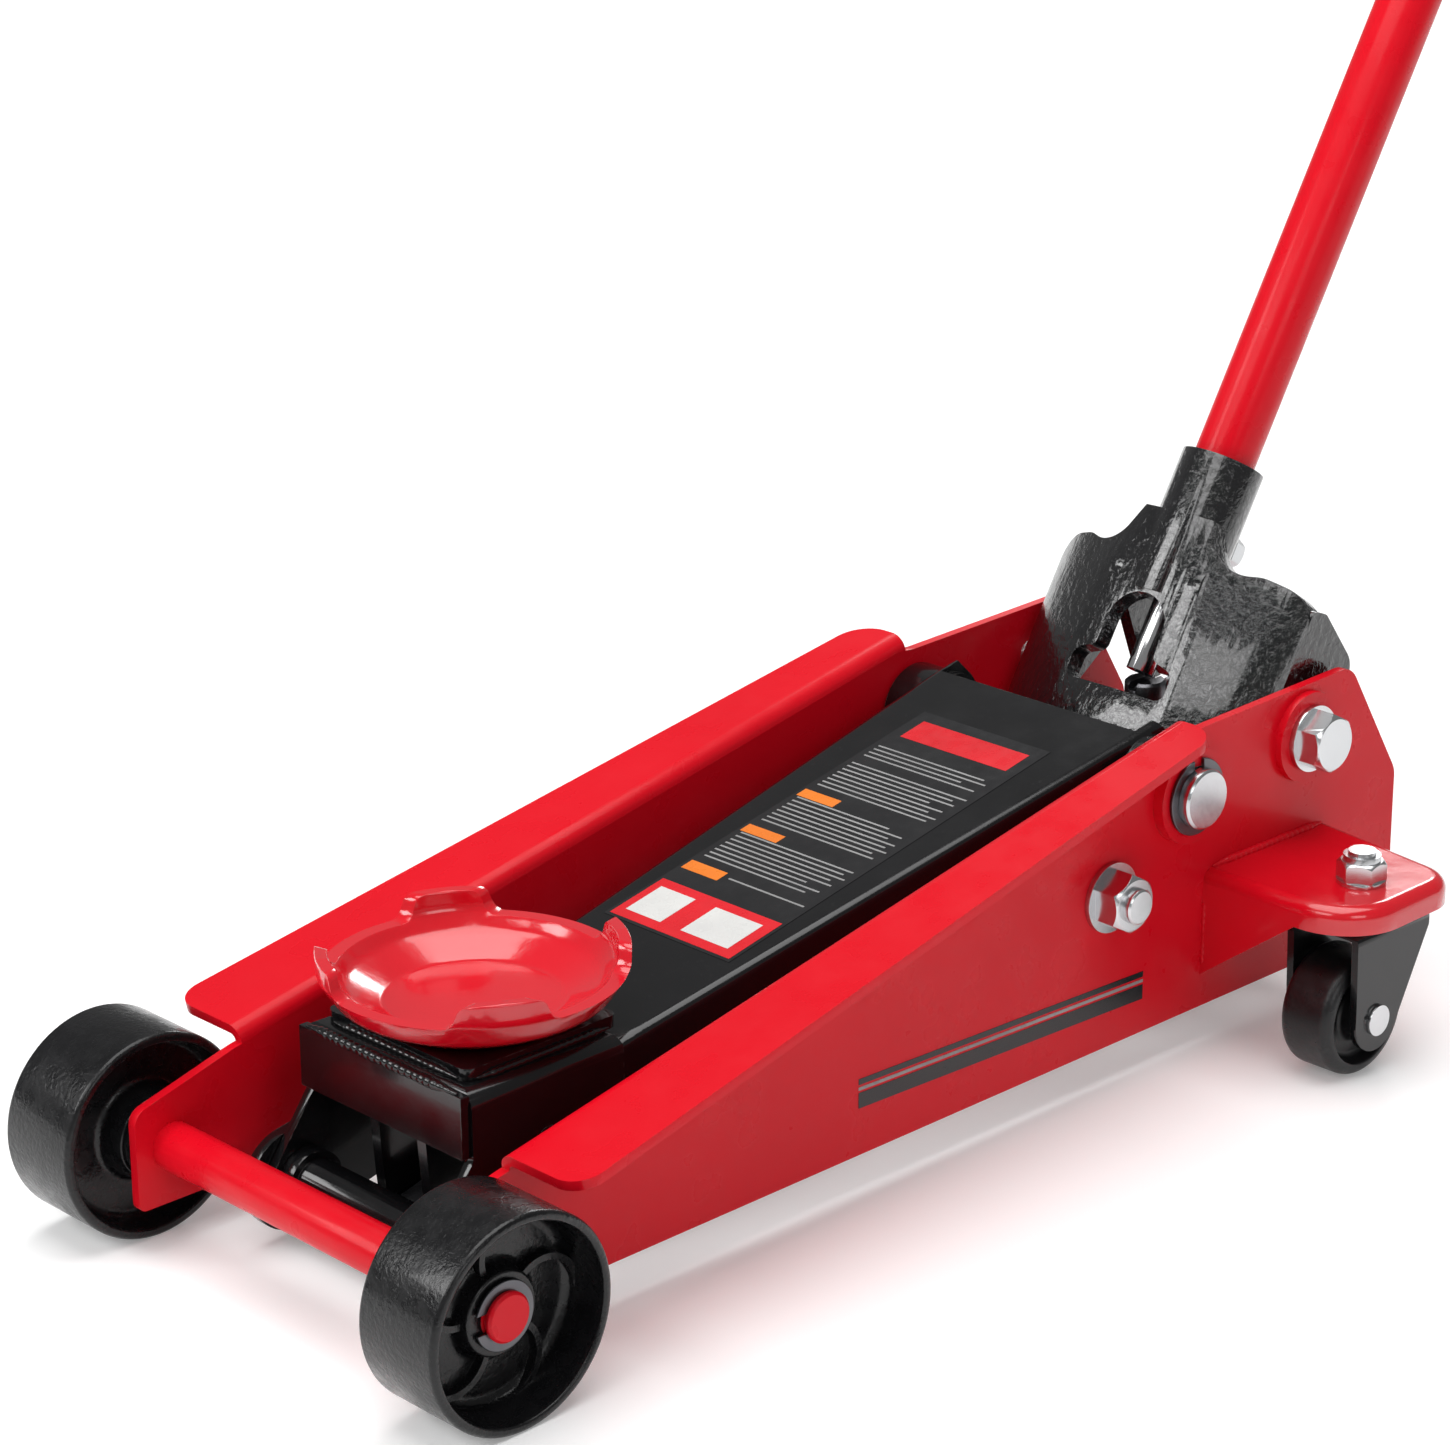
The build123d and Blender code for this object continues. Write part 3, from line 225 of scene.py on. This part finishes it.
RED = (0.62, 0.003, 0.012)
RED_SHADE = (0.585, 0.0028, 0.0112)
RED_WORN = (0.30, 0.05, 0.04)
BLACK = (0.0035, 0.0035, 0.004)
BLACK_SHADE = (0.006, 0.006, 0.0068)
PRIMER = (0.10, 0.095, 0.09)
looks = {
    "red": enamel("red_enamel", RED, RED_SHADE, RED_WORN, 0.30, 0.06, specular=0.16, lumps=0.06),
    "wing": enamel("red_gloss_enamel", RED, RED_SHADE, RED_WORN, 0.18, 0.5, wear=0.4, lumps=0.2),
    "dish": enamel(
        "red_thick_enamel", RED, (0.60, 0.004, 0.015), (0.34, 0.05, 0.04), 0.16, 0.6,
        peel=0.16, wear=0.4, lumps=0.35,
    ),
    "black": enamel(
        "black_enamel", BLACK, BLACK_SHADE, PRIMER, 0.17, 0.25,
        peel=0.08, wear=0.7, dust=(0.02, 0.02, 0.021), specular=0.35,
    ),
    "cast": casting("black_casting", BLACK, BLACK_SHADE, PRIMER, 0.15, 0.75, grain=0.9, scale=230),
    "wheel": casting(
        "wheel_iron", BLACK, BLACK_SHADE, (0.05, 0.05, 0.05), 0.26, 0.15, grain=0.3, scale=420, specular=0.3
    ),
    "block": casting(
        "block_iron", (0.016, 0.016, 0.018), (0.026, 0.026, 0.028), PRIMER, 0.40, 0.2, grain=0.7, scale=240
    ),
    "zinc": steel("zinc_plate", (0.64, 0.65, 0.66), (0.59, 0.60, 0.615), 0.24, (1, 1, 1), 0.03),
    "dark": steel("oiled_steel", (0.17, 0.17, 0.18), (0.10, 0.10, 0.11), 0.34, (3, 1, 3), 0.3),
    "chrome": steel("polished_rod", (0.80, 0.80, 0.81), (0.70, 0.70, 0.72), 0.12, (1, 1, 0.05), 0.12),
    "nylon": moulded(
        "caster_nylon", (0.005, 0.005, 0.0055), (0.009, 0.009, 0.010), 0.34, scuff=(0.03, 0.03, 0.03)
    ),
    "rubber": moulded(
        "grip_rubber", (0.014, 0.014, 0.014), (0.022, 0.021, 0.021), 0.62, grain=0.5, scale=650
    ),
}

look_of = {}
for look, names in {
    "red": """side_plate_left side_plate_right rear_cross_plate unit_mount_straps handle_lower handle_upper
        front_axle""",
    "wing": "caster_wing_left caster_wing_right",
    "dish": "saddle",
    "black": """lift_arm saddle_bracket bracket_front_plate saddle_base_plate bracket_cross_pin arm_front_bar
        caster_fork_left caster_fork_right front_wheel_spacers""",
    "cast": "handle_socket",
    "wheel": "front_wheel_left front_wheel_right",
    "block": "pump_block radius_rod radius_rod_anchor",
    "zinc": """caster_bolts caster_bearings caster_axle_left caster_axle_right socket_bolts unit_mount_bolts
        arm_pivot_pins handle_lock_bolt pump_roller filler_plug lift_ram pump_plunger ram_gland_nut
        unit_trunnion""",
    "dark": """arm_pivot_rings front_wheel_rings crosshead_pin crosshead_bush spring_anchor_bar return_springs
        pump_spring saddle_retaining_ring radius_rod_front_pin radius_rod_rear_pin release_valve
        pump_roller_pin""",
    "chrome": "release_rod",
    "nylon": "caster_wheel_left caster_wheel_right",
    "rubber": "handle_grip",
}.items():
    for name in names.split():
        look_of[name] = look

# Width of the rounded edge in millimetres, where it is more than on most pieces. Gentler bends than
# EDGE_ANGLE stay as they are.
EDGE_ROUND = {
    "saddle": 2.0, "handle_socket": 2.2, "side_plate_left": 0.7, "side_plate_right": 0.7, "lift_arm": 0.8,
}
PLAIN_EDGE = 0.5
EDGE_ANGLE = math.radians(38)
for name, obj in nodes.items():
    obj.data.materials.clear()
    obj.data.materials.append(looks[look_of[name]])
    weld = obj.modifiers.new("weld", "WELD")
    weld.merge_threshold = 1e-5
    bevel = obj.modifiers.new("edge", "BEVEL")
    bevel.width = EDGE_ROUND.get(name, PLAIN_EDGE) * MM
    bevel.segments = 3 if name in EDGE_ROUND else 2
    bevel.limit_method = "ANGLE"
    bevel.angle_limit = EDGE_ANGLE
    bevel.harden_normals = True

# Pieces made here -----------------------------------------------------------------------------------------


def new_piece(name, vertices, faces, material, body, smooth=True):
    """A mesh object that rides on a body and takes its finish from a slot."""
    mesh = bpy.data.meshes.new(name)
    mesh.from_pydata([tuple(v) for v in vertices], [], faces)
    mesh.update()
    for face in mesh.polygons:
        face.use_smooth = smooth
    mesh.materials.append(material)
    obj = bpy.data.objects.new(name, mesh)
    bpy.context.scene.collection.objects.link(obj)
    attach(obj, body)
    return obj


def tube_mesh(points, radii, sides=12, hint=Vector((0, 0, 1))):
    """Vertices and faces of a tube with closed ends along a line of points."""
    vertices, faces = [], []
    count = len(points)
    for index, point in enumerate(points):
        ahead = points[min(index + 1, count - 1)] - points[max(index - 1, 0)]
        ahead.normalize()
        side = ahead.cross(hint)
        if side.length < 1e-6:
            side = ahead.cross(Vector((1, 0, 0)))
        side.normalize()
        other = side.cross(ahead)
        for step in range(sides):
            angle = 2 * math.pi * step / sides
            vertices.append(point + radii[index] * (math.cos(angle) * side + math.sin(angle) * other))
    for index in range(count - 1):
        for step in range(sides):
            a = index * sides + step
            b = index * sides + (step + 1) % sides
            faces.append((a, b, b + sides, a + sides))
    faces.append(tuple(reversed(range(sides))))
    faces.append(tuple(range((count - 1) * sides, count * sides)))
    return vertices, faces


def weld_bead(name, start, end, radius, body, material, hint=Vector((0, 0, 1))):
    """A rippled weld bead between two points."""
    run = end - start
    steps = max(8, int(run.length / (0.55 * MM)))
    points, radii = [], []
    for index in range(steps + 1):
        share = index / steps
        along = share * run.length / MM
        ripple = 0.86 + 0.14 * abs(math.sin(along * 0.75)) + 0.05 * math.sin(along * 0.31 + radius * 9)
        taper = min(1.0, 0.25 + 6 * min(share, 1 - share))
        points.append(start + run * share)
        radii.append(radius * MM * ripple * taper)
    vertices, faces = tube_mesh(points, radii, 10, hint)
    return new_piece(name, vertices, faces, material, body)


def coil(start, end, radius, wire, turns):
    """Vertices and faces of a round-wire coil between two points."""
    run = end - start
    ahead = run.normalized()
    side = ahead.cross(Vector((0, 1, 0)))
    if side.length < 1e-6:
        side = Vector((1, 0, 0))
    side.normalize()
    other = ahead.cross(side)
    points = []
    steps = turns * 22
    for index in range(steps + 1):
        angle = 2 * math.pi * turns * index / steps
        around = math.cos(angle) * side + math.sin(angle) * other
        points.append(start + run * (index / steps) + radius * MM * around)
    return tube_mesh(points, [wire * MM / 2] * len(points), 8, hint=ahead)


# The pump's coil, in the place of its plain CAD spring.
COIL_RADIUS, COIL_WIRE, COIL_TURNS = 10.6, 1.8, 4
spring_low, spring_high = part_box("pump_spring")
centre = (spring_low + spring_high) / 2
vertices, faces = coil(
    Vector((centre.x, centre.y, spring_low.z + COIL_WIRE / 2 * MM)),
    Vector((centre.x, centre.y, spring_high.z - COIL_WIRE / 2 * MM)),
    COIL_RADIUS, COIL_WIRE, COIL_TURNS,
)
pump_coil = new_piece("pump_coil", vertices, faces, looks["dark"], "chassis")
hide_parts("pump_spring")
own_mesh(pump_coil)

# Weld beads on the painted sheet.
for side, tag in ((1, "left"), (-1, "right")):
    weld_bead(
        f"wing_weld_{tag}", at(-507, side * 96.6, 42), at(-507, side * 96.6, 84), 2.6, "chassis",
        looks["red"], hint=Vector((1, 0, 0)),
    )
    weld_bead(
        f"wing_top_weld_{tag}", at(-512, side * 96.4, 97.4), at(-600, side * 96.4, 97.4), 2.4, "chassis",
        looks["red"],
    )
    weld_bead(
        f"cross_plate_weld_{tag}", at(-652.6, side * 90.2, 48), at(-652.6, side * 90.2, 106), 2.6, "chassis",
        looks["red"], hint=Vector((1, 0, 0)),
    )

base_low, base_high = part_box("saddle_base_plate")
plate_low, plate_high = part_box("bracket_front_plate")
for tag, a, b in (
    ("front", (base_high.x, base_low.y + 0.006), (base_high.x, base_high.y - 0.006)),
    ("rear", (base_low.x, base_high.y - 0.006), (base_low.x, base_low.y + 0.006)),
    ("left", (base_low.x + 0.006, base_high.y), (base_high.x - 0.006, base_high.y)),
    ("right", (base_high.x - 0.006, base_low.y), (base_low.x + 0.006, base_low.y)),
):
    bead_z = base_low.z + 0.9 * MM
    weld_bead(
        f"base_weld_{tag}", Vector((*a, bead_z)), Vector((*b, bead_z)), 2.6, "head",
        looks["black"],
    )
bead_x, bead_z = plate_high.x - 1.5 * MM, plate_high.z + 0.4 * MM
weld_bead(
    "front_plate_weld", Vector((bead_x, plate_low.y + 0.004, bead_z)),
    Vector((bead_x, plate_high.y - 0.004, bead_z)), 2.8, "head", looks["black"],
)

# Generic label areas with no lettering --------------------------------------------------------------------

vinyl_looks = {
    "black": moulded("label_black", (0.012, 0.012, 0.013), (0.016, 0.016, 0.017), 0.22, grain=0.05),
    "white": moulded("label_white", (0.62, 0.62, 0.60), (0.55, 0.55, 0.54), 0.28, grain=0.05),
    "red": moulded("label_red", (0.62, 0.012, 0.02), (0.54, 0.01, 0.016), 0.28, grain=0.05),
    "orange": moulded("label_orange", (0.75, 0.20, 0.02), (0.68, 0.17, 0.02), 0.28, grain=0.05),
    "grey": moulded("label_grey", (0.30, 0.30, 0.30), (0.24, 0.24, 0.24), 0.30, grain=0.05),
}


def label(name, place, blocks, body):
    """Flat vinyl blocks on a surface; place turns (along, across, lift) into a point."""
    vertices, faces, indices = [], [], []
    order = list(vinyl_looks)
    for colour, along_from, along_to, across_from, across_to, lift in blocks:
        steps = max(2, int(abs(along_to - along_from) / 12))
        for step in range(steps):
            a = along_from + (along_to - along_from) * step / steps
            b = along_from + (along_to - along_from) * (step + 1) / steps
            first = len(vertices)
            for along, across in ((a, across_from), (b, across_from), (b, across_to), (a, across_to)):
                vertices.append(place(along, across, lift))
            for along, across in ((a, across_from), (b, across_from), (b, across_to), (a, across_to)):
                vertices.append(place(along, across, lift - 0.12))
            faces.append((first, first + 1, first + 2, first + 3))
            faces.append((first + 4, first + 7, first + 6, first + 5))
            faces.append((first, first + 3, first + 7, first + 4))
            faces.append((first + 1, first + 5, first + 6, first + 2))
            faces.append((first, first + 4, first + 5, first + 1))
            faces.append((first + 3, first + 2, first + 6, first + 7))
            indices += [order.index(colour)] * 6
    piece = new_piece(name, vertices, faces, vinyl_looks[order[0]], body, smooth=False)
    for key in order[1:]:
        piece.data.materials.append(vinyl_looks[key])
    for face, index in zip(piece.data.polygons, indices):
        face.material_index = index
    return piece


# The arm's rear pivot, how far the lowered arm points down, and the line of its web above the pivots.
ARM_PIVOT_X, ARM_PIVOT_Z = -488.6, 142.8
ARM_DROP = math.radians(14.1)
WEB_START, WEB_SLOPE = 26.6, 0.0386


def on_web(along, across, lift):
    """A point on the arm's web, from the arm's rear pivot."""
    height = WEB_START + WEB_SLOPE * along + lift
    x = ARM_PIVOT_X + along * math.cos(ARM_DROP) + height * math.sin(ARM_DROP)
    z = ARM_PIVOT_Z - along * math.sin(ARM_DROP) + height * math.cos(ARM_DROP)
    return at(x, across, z)


blocks = [("black", 36, 264, -43, 43, 0.2)]
blocks += [("red", 226, 262, -41, 41, 0.3)]
blocks += [("white", 232, 256, -36, -12, 0.4), ("white", 232, 256, 2, 34, 0.4)]
blocks += [("orange", low, high, -41, -16, 0.3) for low, high in ((206, 214), (166, 173), (126, 133))]
ROW_PITCH = 3.6
ROW_REACH = (39, 35, 38, 30, 36, 24, 37, 33)
for group, (start, rows) in enumerate(((210, 1), (200, 8), (160, 8), (120, 8), (86, 4))):
    for row in range(rows):
        along = start - ROW_PITCH * row
        reach = ROW_REACH[(row + group * 3) % len(ROW_REACH)]
        blocks.append(("grey", along, along - 1.1, -39 if group else -12, reach, 0.3))
blocks += [("red", 44, 62, -36, 36, 0.3)]
label("arm_label", on_web, blocks, "lift_arm")


def on_side(along, across, lift):
    """A point on the left side plate's outer face, along the sloping band."""
    x = -256 - along
    z = 53 - 0.030 * along + across
    return at(x, 96 + lift, z)


def on_other_side(along, across, lift):
    """The same point mirrored on to the right side plate."""
    point = on_side(along, across, lift)
    return Vector((point.x, -point.y, point.z))


band = [("black", 0, 204, 5.5, 8.5, 0.2), ("grey", 0, 204, 2.6, 4.2, 0.2), ("black", 0, 204, -6.5, 1.4, 0.2)]
label("side_band_left", on_side, band, "chassis")
label("side_band_right", on_other_side, band, "chassis")

# Floor, light ---------------------------------------------------------------------------------------------

floor_mesh = bpy.data.meshes.new("floor")
FLOOR = 40.0
corners = [(-FLOOR, -FLOOR, 0), (FLOOR, -FLOOR, 0), (FLOOR, FLOOR, 0), (-FLOOR, FLOOR, 0)]
floor_mesh.from_pydata(corners, [], [(0, 1, 2, 3)])
floor = bpy.data.objects.new("floor", floor_mesh)
bpy.context.scene.collection.objects.link(floor)
floor_look = Shader("pale_glowing_floor", (0.86, 0.86, 0.86), 0.6, specular=0.2)
# Painted light: the floor glows, faintly 1.5 m out from the origin and more strongly from 4 m on, so it shows
# as a bright backdrop while staying dim under the jack.
floor_look.bsdf.inputs["Emission Color"].default_value = (1, 1, 1, 1)
distance = floor_look.node("ShaderNodeVectorMath", operation="LENGTH")
floor_look.link(floor_look.coords, distance.inputs[0])
glow = floor_look.ranged(distance.outputs["Value"], 1.5, 4.0, 0.20, 0.80)
floor_look.link(glow, floor_look.bsdf.inputs["Emission Strength"])
floor_mesh.materials.append(floor_look.finish())

world = bpy.data.worlds.new("studio")
bpy.context.scene.world = world
world.use_nodes = True
world.node_tree.nodes["Background"].inputs["Color"].default_value = (1, 1, 1, 1)
world.node_tree.nodes["Background"].inputs["Strength"].default_value = 0.22


def softbox(name, place, aim, width, height, power):
    """A rectangular area light, in metres and watts."""
    data = bpy.data.lights.new(name, "AREA")
    data.shape = "RECTANGLE"
    data.size, data.size_y, data.energy = width, height, power
    lamp = bpy.data.objects.new(name, data)
    lamp.location = place
    lamp.rotation_euler = (Vector(aim) - Vector(place)).to_track_quat("-Z", "Y").to_euler()
    bpy.context.scene.collection.objects.link(lamp)


softbox("top", (0.3, 0.0, 3.2), (0.2, 0, 0), 3.0, 3.0, 100)
softbox("key", (2.5, -1.3, 1.7), (0.3, 0, 0.15), 1.2, 1.2, 34)
softbox("fill", (1.1, 2.7, 1.5), (0.2, 0, 0.15), 1.2, 0.9, 10)
softbox("front", (2.4, 0.3, 1.95), (0.0, 0, 0.2), 1.3, 0.8, 13)
softbox("back", (-2.3, -1.5, 1.6), (0.1, 0, 0.2), 1.0, 0.5, 16)

bpy.context.scene.view_settings.view_transform = "Standard"
